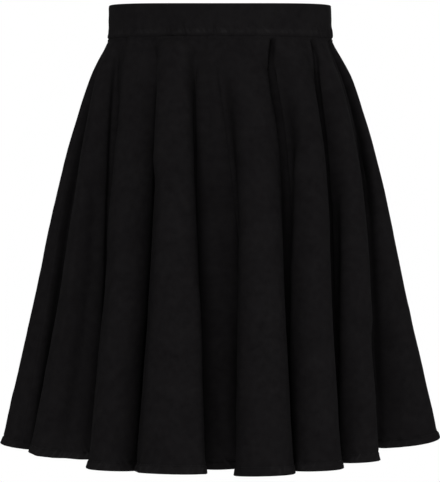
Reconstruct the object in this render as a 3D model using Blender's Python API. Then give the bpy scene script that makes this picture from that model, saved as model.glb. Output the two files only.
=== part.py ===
"""Circle skirt with a straight waistband and a concealed zip at the centre back.

The skirt is a full circle of cloth with a round hole for the waist: a half circle in front and
two quarter circles behind. It is held at the waist and hangs under its own weight. The circle
grows longer round than the body under it, so it falls in folds that deepen towards the hem.

Frame: metres, +Z up, origin at the centre of the waist opening, level with the waistband's
top edge. The front faces -Y, and +X is the wearer's left. A cloth angle says where a thread of
the cloth lies in the flat circle: 0 at the centre front, -90 at the wearer's right side seam,
+90 at the left one and 180 at the centre back.
"""
import math

import bmesh
import bpy
import numpy as np

# Driving sizes, in metres.
WAIST_HALF_WIDTH = 0.1265
WAIST_HALF_DEPTH = 0.0950
BAND_HEIGHT = 0.038
BAND_THICKNESS = 0.0024
BAND_TOP_TAPER = 0.009       # the band's top edge is this share smaller than the waist seam
BAND_FRONT_DIP = 0.0025      # the top edge dips this much at the centre front
BAND_OPENING = 0.0015        # between the band's two ends, for the zip slider's bridge
SKIRT_LENGTH = 0.495         # of cloth, from the waist seam to the hem
CLOTH_THICKNESS = 0.0012
SEAM_GAP = 0.0003
SEAM_GAP_UNDER_BAND = 0.0006
HEM_HEIGHT = -0.5045         # where the hem hangs, below the band's top edge
HEM_WAVE = 0.54              # how much of the cloth's natural rise and fall the hem keeps

# The oval that the bottoms of the folds lie on, at lengths of cloth below the waist seam.
SECTIONS = [
    # below_seam, half_width, front_depth, back_depth
    (0.000, WAIST_HALF_WIDTH, WAIST_HALF_DEPTH, WAIST_HALF_DEPTH),
    (0.040, 0.1367, 0.0936, 0.1010),
    (0.100, 0.1450, 0.0933, 0.1100),
    (0.200, 0.1528, 0.0924, 0.1180),
    (0.300, 0.1560, 0.0955, 0.1210),
    (0.400, 0.1606, 0.1055, 0.1230),
    (SKIRT_LENGTH, 0.1656, 0.1146, 0.1250),
]

# The folds in order of cloth angle, from the centre back round by the wearer's right side.
# cloth_angle: degrees of the circle that the fold takes up
# gather: how tightly its cloth is drawn together, against the other folds
# skew: how far the crest leans to the fold's far side
# round: how much broader the crest is than the hollow beside it
# Each of the last three has a value just below the waist and one at the hem.
FOLDS = [
    # name, cloth_angle, waist_gather, hem_gather, waist_skew, hem_skew, waist_round, hem_round
    ("back_right_inner", 25.0, 0.70, 0.59, 0.00, 0.00, 0.45, 0.35),
    ("back_right_middle", 25.1, 1.10, 0.70, -0.02, -0.02, 0.45, 0.35),
    ("back_right_outer", 26.8, 1.00, 0.70, 0.10, 0.24, 0.44, 0.38),
    ("right_side", 21.1, 0.47, 0.63, -0.05, 0.26, 0.42, 0.00),
    ("right_hip", 18.8, 1.25, 0.85, 0.29, 0.37, 0.52, 0.46),
    ("right_front", 23.0, 0.50, 1.01, 0.46, -0.10, 0.85, 0.33),
    ("front_right_lobe", 30.3, 3.89, 1.16, 0.18, -0.08, 0.85, 0.38),
    ("front_hollow", 8.4, 0.12, 0.09, 0.20, 0.60, 0.83, 0.70),
    ("front_left_lobe", 29.7, 0.72, 1.14, 0.44, 0.28, 0.57, 0.18),
    ("left_front", 25.8, 1.19, 1.03, 0.66, 0.41, 0.65, 0.18),
    ("left_hip", 19.3, 1.10, 0.94, 0.46, 0.40, 0.82, 0.40),
    ("left_side", 23.1, 0.67, 0.51, 0.80, -0.05, 0.85, 0.35),
    ("back_left_outer", 29.1, 1.88, 1.02, 0.40, 0.20, 0.62, 0.42),
    ("back_left_middle", 27.2, 1.32, 0.86, 0.08, 0.08, 0.45, 0.35),
    ("back_left_inner", 27.4, 0.99, 0.95, 0.03, 0.03, 0.45, 0.35),
]
GATHER_ONSET = 0.450         # length of cloth over which the folds take their hem shape
SEAM_HOLD = 0.80             # share of the cloth's extra length that stays flat at the seam
SEAM_HOLD_FADE = 0.020       # length of cloth over which the seam lets it go
TIGHTEST_BEND = 2.4          # radians; a fold's flanks never turn further back than this
SMALLEST_DROP = 0.3          # of a length of cloth, however far it runs outwards

# How finely the shape is worked out, and how finely the solids are cut.
OVAL_STEPS = 1440
WAVE_STEPS = 48              # threads in one fold
LEVELS = 100                 # rings between the waist seam and the hem
PANEL_ROWS = 11
PANEL_ROW_CROWDING = 1.35    # above 1, the rows crowd towards the waist
PANEL_COLUMNS_PER_FOLD = 20
BEND_CROWDING = 0.60         # share of a fold's columns that stand by how the cloth turns
SEAM_MARGIN = 0.5            # degrees; no column stands closer than this to a seam
BAND_COLUMNS = 96
BAND_EDGE_STEPS = 3
ANGLE_PROBE = 0.5            # degrees to each side, where a direction round the cloth is read
LENGTH_PROBE = 0.004         # metres up and down, where a direction along a thread is read

# The concealed zip, behind the band and the centre back seam.
TAPE_WIDTH = 0.024
TAPE_THICKNESS = 0.0007
TAPE_GAP = 0.0005            # between the tape and the cloth it is sewn to
TAPE_COLUMNS = 8
TAPE_ROWS_BEHIND_BAND = 4
COIL_WIDTH = 0.0036
COIL_TOP_SHARE = 0.6         # width of the coil's rounded top against its foot
COIL_HEIGHT = 0.0013
ZIP_BELOW_SEAM = 0.125
ZIP_TOP = -0.0088

# The slider, and the pull that hangs on its bridge.
SLIDER_WIDTH = 0.0046
SLIDER_DEPTH = 0.0026
SLIDER_TOP = -0.0020
SLIDER_BOTTOM = -0.0085
BRIDGE_THICKNESS = 0.0009
BRIDGE_TOP = -0.0028
BRIDGE_BOTTOM = -0.0082
BRIDGE_REACH = 0.0028        # how far it stands out from the band
BRIDGE_ROD = 0.0007          # width of its outer rod
BRIDGE_SHELF = 0.0010        # height of its upper and lower rods
BRIDGE_STANDOFF = 0.0005     # from the band to the hole in the bridge
PULL_THICKNESS = 0.0008
PULL_BAR_HEIGHT = 0.0010
PULL_TOP_HALF_WIDTH = 0.0023
PULL_END_RADIUS = 0.0030
PULL_END_STEPS = 8
PULL_LENGTH = 0.0200         # from the joint's axis to the end
PULL_SLOT_WIDTH = 0.0017
PULL_SLOT_LENGTH = 0.0042    # from the joint's axis
PULL_EDGE_BEVEL = 0.00015

BLACK_COTTON = (0.0090, 0.0085, 0.0088, 1.0)
BLACK_TAPE = (0.0070, 0.0070, 0.0072, 1.0)
BLACK_METAL = (0.0150, 0.0150, 0.0155, 1.0)


def bisect(is_low, low, high, steps=40):
    """Narrow low..high, item by item, to the value where is_low turns false."""
    for _ in range(steps):
        middle = (low + high) / 2.0
        below = is_low(middle)
        low = np.where(below, middle, low)
        high = np.where(below, high, middle)
    return (low + high) / 2.0


def section_at(below_seam):
    """Return half width, front depth and back depth, on a smooth curve through SECTIONS."""
    table = np.array(SECTIONS)
    lengths = table[:, 0]
    row = int(np.clip(np.searchsorted(lengths, below_seam) - 1, 0, len(lengths) - 2))
    span = lengths[row + 1] - lengths[row]
    t = (below_seam - lengths[row]) / span
    slopes = np.gradient(table[:, 1:], lengths, axis=0) * span
    return ((2 * t**3 - 3 * t**2 + 1) * table[row, 1:] + (t**3 - 2 * t**2 + t) * slopes[row]
            + (-2 * t**3 + 3 * t**2) * table[row + 1, 1:] + (t**3 - t**2) * slopes[row + 1])


def oval(below_seam):
    """Return the section oval's points, headings and running lengths, from the back round."""
    half_width, front_depth, back_depth = section_at(below_seam)
    turn = np.linspace(-math.pi, math.pi, OVAL_STEPS + 1)
    depth = np.where(np.cos(turn) > 0.0, front_depth, back_depth)
    points = np.column_stack([half_width * np.sin(turn), -depth * np.cos(turn)])
    heading = np.unwrap(np.arctan2(depth * np.sin(turn), half_width * np.cos(turn)))
    steps = np.linalg.norm(np.diff(points, axis=0), axis=1)
    return points, heading, np.concatenate([[0.0], np.cumsum(steps)])


(FOLD_ANGLES, WAIST_GATHERS, HEM_GATHERS, WAIST_SKEWS, HEM_SKEWS,
 WAIST_ROUNDS, HEM_ROUNDS) = np.array([fold[1:] for fold in FOLDS]).T
CLOTH_ANGLES = FOLD_ANGLES * 360.0 / FOLD_ANGLES.sum()
WAIST_RADIUS = oval(0.0)[2][-1] / (2.0 * math.pi)   # of the hole in the flat circle
FOLD_PLACES = np.linspace(-math.pi, math.pi, WAVE_STEPS + 1)   # from hollow to hollow


def between(below_seam, at_waist, at_hem):
    """Return the folds' values at one length, between those at the waist and at the hem."""
    drawn = ((1.0 - math.exp(-below_seam / GATHER_ONSET))
             / (1.0 - math.exp(-SKIRT_LENGTH / GATHER_ONSET)))
    return (1.0 - drawn) * at_waist + drawn * at_hem


def fold_phase(place, skew, roundness):
    """Return how far round its bend each fold's cloth is, at places along the fold."""
    return (place - roundness[:, None] * np.sin(place)
            + skew[:, None] * (1.0 + np.cos(place)) / 2.0)


def wave(bend, cloth, turn, skew, roundness):
    """Return each fold's outline from hollow to hollow, starting at 0, 0 along +X.

    The cloth's heading swings out by bend and back again, as a bent strip's does, and turns
    by turn in all, with the oval.
    """
    place = (FOLD_PLACES[1:] + FOLD_PLACES[:-1]) / 2.0
    heading = (turn[:, None] * (place + math.pi) / (2.0 * math.pi)
               + bend[:, None] * np.sin(fold_phase(place, skew, roundness)))
    step = cloth[:, None] / WAVE_STEPS
    start = np.zeros((len(FOLDS), 1))
    x = np.concatenate([start, np.cumsum(np.cos(heading) * step, axis=1)], axis=1)
    y = np.concatenate([start, np.cumsum(np.sin(heading) * step, axis=1)], axis=1)
    return x, y


def share_oval(below_seam, cloth, oval_length):
    """Return each fold's length along the oval: together they fill it."""
    weight = between(below_seam, WAIST_GATHERS, HEM_GATHERS)

    def shares(pull):
        return cloth / (1.0 + (pull - 1.0) * weight)

    pull = bisect(lambda value: shares(value).sum() > oval_length, np.float64(1.0), 60.0)
    lengths = shares(pull)
    return lengths * oval_length / lengths.sum()


def ring(below_seam):
    """Return the skirt's outline from above, one point for each thread, at one length."""
    held = SEAM_HOLD * math.exp(-below_seam / SEAM_HOLD_FADE)
    cloth = np.radians(CLOTH_ANGLES) * (WAIST_RADIUS + below_seam * (1.0 - held))
    points, heading, running = oval(below_seam)
    hollows = np.concatenate([[0.0], np.cumsum(share_oval(below_seam, cloth, running[-1]))])
    hollow_x = np.interp(hollows, running, points[:, 0])
    hollow_y = np.interp(hollows, running, points[:, 1])
    turn = np.diff(np.interp(hollows, running, heading))
    across_x = np.diff(hollow_x)
    across_y = np.diff(hollow_y)
    across = np.hypot(across_x, across_y)
    skew = between(below_seam, WAIST_SKEWS, HEM_SKEWS)
    roundness = between(below_seam, WAIST_ROUNDS, HEM_ROUNDS)

    def reach(bend):
        x, y = wave(bend, cloth, turn, skew, roundness)
        return np.hypot(x[:, -1], y[:, -1])

    none = np.zeros(len(FOLDS))
    bend = bisect(lambda value: reach(value) > across, none, none + TIGHTEST_BEND)
    x, y = wave(bend, cloth, turn, skew, roundness)
    swing = np.arctan2(across_y, across_x) - np.arctan2(y[:, -1], x[:, -1])
    fit = across / np.hypot(x[:, -1], y[:, -1])
    along = (fit * np.cos(swing))[:, None]
    aside = (fit * np.sin(swing))[:, None]
    plan_x = hollow_x[:-1, None] + along * x - aside * y
    plan_y = hollow_y[:-1, None] + aside * x + along * y
    return np.column_stack([plan_x[:, :-1].ravel(), plan_y[:, :-1].ravel()])


def hang_cloth():
    """Return the cloth as points [rings, threads, xyz].

    Each thread keeps its length from ring to ring, so where it runs outwards it drops less.
    The hem is then levelled, as a maker levels it after the skirt has hung.
    """
    lengths = np.linspace(0.0, SKIRT_LENGTH, LEVELS + 1)
    step = lengths[1]
    plans = np.array([ring(length) for length in lengths])
    sideways = np.linalg.norm(np.diff(plans, axis=0), axis=2)
    drops = np.sqrt(np.maximum(step**2 - sideways**2, (SMALLEST_DROP * step)**2))
    start = np.zeros((1, plans.shape[1]))
    heights = -BAND_HEIGHT - np.concatenate([start, np.cumsum(drops, axis=0)])
    hem = heights[-1]
    wanted = HEM_HEIGHT + HEM_WAVE * (hem - hem.mean())
    heights = heights + ((lengths / SKIRT_LENGTH)**2)[:, None] * (wanted - hem)
    return np.concatenate([plans, heights[:, :, None]], axis=2)


CLOTH = hang_cloth()
THREAD_ENDS = np.concatenate([[0.0], np.cumsum(CLOTH_ANGLES)]) - 180.0
THREAD_ANGLES = np.interp(np.arange(CLOTH.shape[1]) / WAVE_STEPS,
                          np.arange(len(FOLDS) + 1), THREAD_ENDS)


def cloth_point(below_seam, angle):
    """Return the points of the cloth's middle at one length and an array of cloth angles."""
    level = below_seam / SKIRT_LENGTH * LEVELS
    upper = int(min(math.floor(level), LEVELS - 1))
    row = CLOTH[upper] + (CLOTH[upper + 1] - CLOTH[upper]) * (level - upper)
    wrapped = (np.asarray(angle) + 180.0) % 360.0 - 180.0
    return np.column_stack([np.interp(wrapped, THREAD_ANGLES, row[:, axis], period=360.0)
                            for axis in range(3)])


def around(below_seam, angle):
    """Return the steps round the cloth at one length and an array of cloth angles."""
    return (cloth_point(below_seam, angle + ANGLE_PROBE)
            - cloth_point(below_seam, angle - ANGLE_PROBE))


def outward(below_seam, angle):
    """Return the cloth's outward directions at one length and an array of cloth angles."""
    upper = max(below_seam - LENGTH_PROBE, 0.0)
    lower = min(below_seam + LENGTH_PROBE, SKIRT_LENGTH)
    down = cloth_point(lower, angle) - cloth_point(upper, angle)
    normal = np.cross(down, around(below_seam, angle))
    return normal / np.linalg.norm(normal, axis=1, keepdims=True)


def waist_point(angle, out, height):
    """Return points of the waistband: out from its middle surface, at a height below the top."""
    level = cloth_point(0.0, angle)
    shrink = 1.0 - BAND_TOP_TAPER * (1.0 + height / BAND_HEIGHT)
    along = around(0.0, angle)
    direction = np.column_stack([along[:, 1], -along[:, 0], np.zeros(len(angle))])
    direction /= np.linalg.norm(direction, axis=1, keepdims=True)
    points = level * shrink + direction * np.atleast_1d(out)[:, None]
    points[:, 2] = height
    return points


def seam_shift(below_seam, gap):
    """Return the cloth angle, in degrees, of half a gap at a length below the seam."""
    return math.degrees(gap / 2.0 / (WAIST_RADIUS + below_seam))


def material(name, colour, roughness, metallic=0.0):
    """Return a new Principled material."""
    made = bpy.data.materials.new(name)
    made.use_nodes = True
    shader = made.node_tree.nodes["Principled BSDF"]
    shader.inputs["Base Color"].default_value = colour
    shader.inputs["Roughness"].default_value = roughness
    shader.inputs["Metallic"].default_value = metallic
    made.diffuse_color = colour
    return made


def new_object(name, mesh, finish):
    """Put a mesh into the scene as a named object, shaded smooth."""
    made = bpy.data.objects.new(name, mesh)
    made.data.materials.append(finish)
    bpy.context.scene.collection.objects.link(made)
    mesh.shade_smooth()
    mesh.set_sharp_from_angle(angle=math.radians(50.0))
    return made


def grid_mesh(name, rows, closed_profile=False):
    """Return a mesh of quads over rows of points; a closed profile gets its two end faces."""
    mesh = bpy.data.meshes.new(name)
    shape = bmesh.new()
    corners = [[shape.verts.new(point) for point in row] for row in rows]
    across = len(corners[0])
    for upper, lower in zip(corners, corners[1:]):
        for left in range(across if closed_profile else across - 1):
            right = (left + 1) % across
            shape.faces.new((upper[left], lower[left], lower[right], upper[right]))
    if closed_profile:
        shape.faces.new(corners[0])
        shape.faces.new(reversed(corners[-1]))
        bmesh.ops.recalc_face_normals(shape, faces=shape.faces)
    shape.to_mesh(mesh)
    shape.free()
    return mesh


def row_lengths():
    """Return the lengths below the seam of a panel's rows, closer together near the waist."""
    share = np.linspace(0.0, 1.0, PANEL_ROWS + 1)
    return SKIRT_LENGTH * share**PANEL_ROW_CROWDING


def all_columns():
    """Return the cloth angles of all columns, closer together where a fold turns sharply."""
    phase = fold_phase(FOLD_PLACES, (WAIST_SKEWS + HEM_SKEWS) / 2.0,
                       (WAIST_ROUNDS + HEM_ROUNDS) / 2.0)
    turning = np.abs(np.diff(np.sin(phase), axis=1))
    wanted = ((1.0 - BEND_CROWDING) / WAVE_STEPS
              + BEND_CROWDING * turning / turning.sum(axis=1, keepdims=True))
    counted = np.concatenate([np.zeros((len(FOLDS), 1)), np.cumsum(wanted, axis=1)], axis=1)
    even = np.arange(PANEL_COLUMNS_PER_FOLD) / PANEL_COLUMNS_PER_FOLD
    shares = np.linspace(0.0, 1.0, WAVE_STEPS + 1)
    return np.concatenate([start + angle * np.interp(even, row, shares)
                           for start, angle, row in zip(THREAD_ENDS, CLOTH_ANGLES, counted)])


COLUMNS = all_columns()


def column_angles(first, last):
    """Return the cloth angles of the columns between two seams, with the seams' own."""
    inside = COLUMNS[(COLUMNS > first + SEAM_MARGIN) & (COLUMNS < last - SEAM_MARGIN)]
    return np.concatenate([[first], inside, [last]])


def make_panel(name, first, last, finish):
    """Make one cut piece of the skirt between two seams, as a wall of cloth."""
    rows = []
    for below_seam in row_lengths():
        angles = column_angles(first, last)
        shift = seam_shift(below_seam, SEAM_GAP)
        angles[0] += shift
        angles[-1] -= shift
        rows.append(cloth_point(below_seam, angles))
    panel = new_object(name, grid_mesh(name, rows), finish)
    wall = panel.modifiers.new("cloth", "SOLIDIFY")
    wall.thickness = CLOTH_THICKNESS
    wall.offset = 0.0
    wall.use_quality_normals = True
    return panel


def make_waistband(finish):
    """Make the band: a flat strip round the waist with a rounded top fold, open behind."""
    half = BAND_THICKNESS / 2.0
    bottom = -BAND_HEIGHT + SEAM_GAP_UNDER_BAND
    end = 180.0 - seam_shift(0.0, BAND_OPENING)
    angles = np.linspace(-end, end, BAND_COLUMNS + 1)
    dips = BAND_FRONT_DIP * np.maximum(np.cos(np.radians(angles)), 0.0)**2
    profile = [(-half, bottom), (half, bottom)]
    for step in range(BAND_EDGE_STEPS + 1):
        turn = math.pi * step / BAND_EDGE_STEPS
        profile.append((half * math.cos(turn), -half + half * math.sin(turn)))
    edges = []
    for out, height in profile:
        edge = waist_point(angles, out, height)
        edge[:, 2] -= dips * (height - bottom) / -bottom
        edges.append(edge)
    rows = np.stack(edges, axis=1)
    return new_object("waistband", grid_mesh("waistband", rows, closed_profile=True), finish)


def tape_profile():
    """Return the zip's cross-section as (along the cloth, out from it), a closed outline."""
    half = TAPE_WIDTH / 2.0
    coil = COIL_WIDTH / 2.0
    coil_top = coil * COIL_TOP_SHARE
    inner = -TAPE_THICKNESS
    outer_side = [(x, 0.0) for x in np.linspace(-half, half, TAPE_COLUMNS + 1)]
    inner_side = [(half, inner), (half / 2.0, inner), (coil, inner),
                  (coil_top, inner - COIL_HEIGHT), (-coil_top, inner - COIL_HEIGHT),
                  (-coil, inner), (-half / 2.0, inner), (-half, inner)]
    return outer_side + inner_side


def make_zip_tape(finish):
    """Make the closed zip: both tapes and the coil, following the inside of the cloth."""
    profile = tape_profile()
    along = np.array([x for x, _ in profile])
    out = np.array([depth for _, depth in profile])
    behind_band = -BAND_THICKNESS / 2.0 - TAPE_GAP
    behind_cloth = -CLOTH_THICKNESS / 2.0 - TAPE_GAP
    rows = []
    band_angles = 180.0 + np.degrees(along / WAIST_RADIUS)
    for height in np.linspace(ZIP_TOP, -BAND_HEIGHT, TAPE_ROWS_BEHIND_BAND):
        rows.append(waist_point(band_angles, out + behind_band, height))
    for below_seam in row_lengths():
        if 0.0 < below_seam < ZIP_BELOW_SEAM:
            angles = 180.0 + np.degrees(along / (WAIST_RADIUS + below_seam))
            inset = out + behind_cloth
            points = cloth_point(below_seam, angles)
            rows.append(points + outward(below_seam, angles) * inset[:, None])
    return new_object("zip_tape", grid_mesh("zip_tape", rows, closed_profile=True), finish)


def box_object(name, low, high, finish):
    """Make a box between two corners, with its own origin at its centre."""
    mesh = bpy.data.meshes.new(name)
    shape = bmesh.new()
    bmesh.ops.create_cube(shape, size=1.0)
    low = np.array(low)
    high = np.array(high)
    bmesh.ops.scale(shape, vec=high - low, verts=shape.verts)
    shape.to_mesh(mesh)
    shape.free()
    made = new_object(name, mesh, finish)
    made.location = (low + high) / 2.0
    return made


def combine(target, tool, operation):
    """Join or cut target with a helper object, which is kept out of the model."""
    tool.hide_render = True
    tool.display_type = "WIRE"
    boolean = target.modifiers.new(operation.lower(), "BOOLEAN")
    boolean.operation = operation
    boolean.solver = "EXACT"
    boolean.object = tool


def bevel(target, width):
    """Round a hard part's edges a little."""
    rounding = target.modifiers.new("edges", "BEVEL")
    rounding.width = width
    rounding.segments = 1
    rounding.limit_method = "ANGLE"


def band_back(height):
    """Return the y of the band's middle at the centre back, at a height below the top."""
    return waist_point(np.array([180.0]), 0.0, height)[0, 1]


BAND_BACK = band_back((SLIDER_TOP + SLIDER_BOTTOM) / 2.0)
BAND_INSIDE = BAND_BACK - BAND_THICKNESS / 2.0
BAND_OUTSIDE = BAND_BACK + BAND_THICKNESS / 2.0
HOLE_INNER = BAND_OUTSIDE + BRIDGE_STANDOFF
HOLE_OUTER = BAND_OUTSIDE + BRIDGE_REACH - BRIDGE_ROD
HOLE_BOTTOM = BRIDGE_BOTTOM + BRIDGE_SHELF
PULL_AXIS = (0.0, (HOLE_INNER + HOLE_OUTER) / 2.0,
             HOLE_BOTTOM + SEAM_GAP + PULL_BAR_HEIGHT / 2.0)


def make_zip_slider(finish):
    """Make the slider: a block behind the band and a bridge that stands out between its ends."""
    body_outer = BAND_INSIDE - SEAM_GAP
    slider = box_object("zip_slider",
                        (-SLIDER_WIDTH / 2.0, body_outer - SLIDER_DEPTH, SLIDER_BOTTOM),
                        (SLIDER_WIDTH / 2.0, body_outer, SLIDER_TOP), finish)
    bevel(slider, SLIDER_DEPTH / 6.0)
    half = BRIDGE_THICKNESS / 2.0
    bridge = box_object("slider_bridge",
                        (-half, body_outer - SLIDER_DEPTH / 2.0, BRIDGE_BOTTOM),
                        (half, BAND_OUTSIDE + BRIDGE_REACH, BRIDGE_TOP), finish)
    hole = box_object("slider_hole",
                      (-SLIDER_WIDTH, HOLE_INNER, HOLE_BOTTOM),
                      (SLIDER_WIDTH, HOLE_OUTER, BRIDGE_TOP - BRIDGE_SHELF), finish)
    combine(slider, bridge, "UNION")
    combine(slider, hole, "DIFFERENCE")
    return slider


def pull_outline():
    """Return the pull's outline in its own plane, as (across, below the joint's axis)."""
    top = PULL_BAR_HEIGHT / 2.0
    end = -PULL_LENGTH + PULL_END_RADIUS
    outline = [(-PULL_TOP_HALF_WIDTH, top), (-PULL_END_RADIUS, end)]
    for step in range(1, PULL_END_STEPS):
        turn = math.pi * step / PULL_END_STEPS
        outline.append((-PULL_END_RADIUS * math.cos(turn), end - PULL_END_RADIUS * math.sin(turn)))
    outline += [(PULL_END_RADIUS, end), (PULL_TOP_HALF_WIDTH, top)]
    return outline


def make_zip_pull(finish):
    """Make the pull: a flat drop with a slot for the bridge, its origin on the joint's axis."""
    mesh = bpy.data.meshes.new("zip_pull")
    shape = bmesh.new()
    half = PULL_THICKNESS / 2.0
    face = shape.faces.new([shape.verts.new((x, -half, z)) for x, z in pull_outline()])
    grown = bmesh.ops.extrude_face_region(shape, geom=[face])
    moved = [item for item in grown["geom"] if isinstance(item, bmesh.types.BMVert)]
    bmesh.ops.translate(shape, vec=(0.0, PULL_THICKNESS, 0.0), verts=moved)
    bmesh.ops.recalc_face_normals(shape, faces=shape.faces)
    shape.to_mesh(mesh)
    shape.free()
    pull = new_object("zip_pull", mesh, finish)
    pull.location = PULL_AXIS
    bevel(pull, PULL_EDGE_BEVEL)
    slot_half = PULL_SLOT_WIDTH / 2.0
    slot = box_object("pull_slot",
                      (-slot_half, PULL_AXIS[1] - PULL_END_RADIUS, PULL_AXIS[2] - PULL_SLOT_LENGTH),
                      (slot_half, PULL_AXIS[1] + PULL_END_RADIUS,
                       PULL_AXIS[2] - PULL_BAR_HEIGHT / 2.0), finish)
    combine(pull, slot, "DIFFERENCE")
    return pull


def main():
    """Build the skirt."""
    for old in list(bpy.data.objects):
        bpy.data.objects.remove(old, do_unlink=True)
    cotton = material("black_cotton", BLACK_COTTON, 0.90)
    tape = material("black_tape", BLACK_TAPE, 0.80)
    metal = material("black_metal", BLACK_METAL, 0.35, metallic=0.6)
    make_panel("front_panel", -90.0, 90.0, cotton)
    make_panel("back_panel_right", -180.0, -90.0, cotton)
    make_panel("back_panel_left", 90.0, 180.0, cotton)
    make_waistband(cotton)
    make_zip_tape(tape)
    make_zip_slider(metal)
    make_zip_pull(metal)


main()
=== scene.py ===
"""The looks of a black circle skirt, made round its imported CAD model.

Frame: metres, +Z up, origin at the centre of the waist opening, level with the band's top edge.
The front faces -Y and +X is the wearer's left. A cloth angle says where a thread of the cloth
lies in the flat circle: 0 at the centre front, -90 at the wearer's right side seam, +90 at the
left one, 180 at the centre back. A place on the cloth is a length below the waist seam and a
cloth angle.
"""
import math

import bpy
import numpy as np
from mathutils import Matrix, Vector, noise


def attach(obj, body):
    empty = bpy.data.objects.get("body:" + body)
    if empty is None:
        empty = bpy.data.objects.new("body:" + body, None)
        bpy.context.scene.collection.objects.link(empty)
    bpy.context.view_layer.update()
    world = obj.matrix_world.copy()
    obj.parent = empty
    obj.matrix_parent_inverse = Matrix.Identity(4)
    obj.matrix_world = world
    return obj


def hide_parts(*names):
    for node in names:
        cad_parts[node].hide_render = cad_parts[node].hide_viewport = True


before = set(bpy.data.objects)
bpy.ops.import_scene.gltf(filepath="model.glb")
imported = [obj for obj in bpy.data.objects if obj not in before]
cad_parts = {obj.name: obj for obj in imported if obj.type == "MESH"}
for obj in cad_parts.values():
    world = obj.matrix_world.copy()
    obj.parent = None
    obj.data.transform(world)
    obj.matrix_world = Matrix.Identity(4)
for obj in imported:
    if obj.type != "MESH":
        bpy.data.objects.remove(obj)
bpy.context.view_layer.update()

# ---- Driving sizes, in metres. The ones down to TIGHTEST_BEND are the CAD model's own. ----
WAIST_HALF_WIDTH = 0.1265
WAIST_HALF_DEPTH = 0.0950
BAND_HEIGHT = 0.038
BAND_THICKNESS = 0.0024
BAND_TOP_TAPER = 0.009
BAND_FRONT_DIP = 0.0025
BAND_OPENING = 0.0015
SKIRT_LENGTH = 0.495
CLOTH_THICKNESS = 0.0012
SEAM_GAP_UNDER_BAND = 0.0006
HEM_HEIGHT = -0.5045
HEM_WAVE = 0.54

SECTIONS = [
    # below_seam, half_width, front_depth, back_depth
    (0.000, WAIST_HALF_WIDTH, WAIST_HALF_DEPTH, WAIST_HALF_DEPTH),
    (0.040, 0.1367, 0.0936, 0.1010),
    (0.100, 0.1450, 0.0933, 0.1100),
    (0.200, 0.1528, 0.0924, 0.1180),
    (0.300, 0.1560, 0.0955, 0.1210),
    (0.400, 0.1606, 0.1055, 0.1230),
    (SKIRT_LENGTH, 0.1656, 0.1146, 0.1250),
]

FOLDS = [
    # name, cloth_angle, waist_gather, hem_gather, waist_skew, hem_skew, waist_round, hem_round
    ("back_right_inner", 25.0, 0.70, 0.59, 0.00, 0.00, 0.45, 0.35),
    ("back_right_middle", 25.1, 1.10, 0.70, -0.02, -0.02, 0.45, 0.35),
    ("back_right_outer", 26.8, 1.00, 0.70, 0.10, 0.24, 0.44, 0.38),
    ("right_side", 21.1, 0.47, 0.63, -0.05, 0.26, 0.42, 0.00),
    ("right_hip", 18.8, 1.25, 0.85, 0.29, 0.37, 0.52, 0.46),
    ("right_front", 23.0, 0.50, 1.01, 0.46, -0.10, 0.85, 0.33),
    ("front_right_lobe", 30.3, 3.89, 1.16, 0.18, -0.08, 0.85, 0.38),
    ("front_hollow", 8.4, 0.12, 0.09, 0.20, 0.60, 0.83, 0.70),
    ("front_left_lobe", 29.7, 0.72, 1.14, 0.44, 0.28, 0.57, 0.18),
    ("left_front", 25.8, 1.19, 1.03, 0.66, 0.41, 0.65, 0.18),
    ("left_hip", 19.3, 1.10, 0.94, 0.46, 0.40, 0.82, 0.40),
    ("left_side", 23.1, 0.67, 0.51, 0.80, -0.05, 0.85, 0.35),
    ("back_left_outer", 29.1, 1.88, 1.02, 0.40, 0.20, 0.62, 0.42),
    ("back_left_middle", 27.2, 1.32, 0.86, 0.08, 0.08, 0.45, 0.35),
    ("back_left_inner", 27.4, 0.99, 0.95, 0.03, 0.03, 0.45, 0.35),
]
GATHER_ONSET = 0.450
SEAM_HOLD = 0.80
SEAM_HOLD_FADE = 0.020
SMALLEST_DROP = 0.3
TIGHTEST_BEND = 2.4
OVAL_STEPS = 1440
WAVE_STEPS = 48              # threads in one fold
LEVELS = 100                 # rings between the waist seam and the hem

# Sewn details.
TOP_TUCK = 0.0014            # how far the panels' top edges run up inside the band
HEM_DEPTH = 0.0092           # from the stitching to the hem's fold
HEM_EXTRA = 0.0006           # how much further the turned-up layers stand out on the inside
HEM_PUFF = 0.00070           # and on the outside
HEM_FLARE = 0.0013           # how far the stiff hem turns out at its edge
HEM_EDGE_ROUND = 0.0005      # how far its folded edge is rounded
HEM_STEP = (0.0006, 0.0004)  # where the turned-up layers end, below and above the stitching
CLEAR_OF_BAND = 0.006        # length of cloth over which it comes free of the band
STITCH_PITCH = 0.0030
STITCH_SHARE = 0.78          # of its pitch that a stitch shows on the outside
STITCH_RADIUS = 0.00020
STITCH_DIP = 2.4             # radii by which a stitch's ends sink
STITCH_END_GAP = 0.0020      # from a seam to the nearest stitch of the hem
ALLOWANCE_WIDTH = 0.012      # of the cloth that is pressed open behind a seam, each side
ALLOWANCE_THICKNESS = 0.0006
ALLOWANCE_GAP = 0.00005      # between it and the panel

# Puckers in the cloth beside the stitching.
PUCKER_HEIGHT = 0.0026
PUCKER_PITCH = 0.0048
PUCKER_FADE = 0.005          # length above the hem's stitching over which they die away
PUCKER_LEAN = 0.6            # how far they run sideways for each length up
PUCKER_LEAN_END = 0.020      # height above the hem where they stop leaning
PUCKER_PATCH = 0.060         # size of the stretches with higher or lower puckers
CALMEST = 0.35               # share of their height that the lowest ones keep
BACK_SEAM_CALM = 1.5         # degrees beside the back seam over which they set in
WAIST_PUCKERS = (0.0009, 0.0042, 0.004, 0.009)   # height, pitch, distance from seam, reach
BAND_PUCKERS = (0.0020, 0.0034, 0.0072, 0.0050)
BAND_PUCKER_LEAN = 0.25
BAND_PATCH = 0.030
BAND_PATCH_EDGE = 0.30       # half the range of its noise over which a stretch sets in

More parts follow.
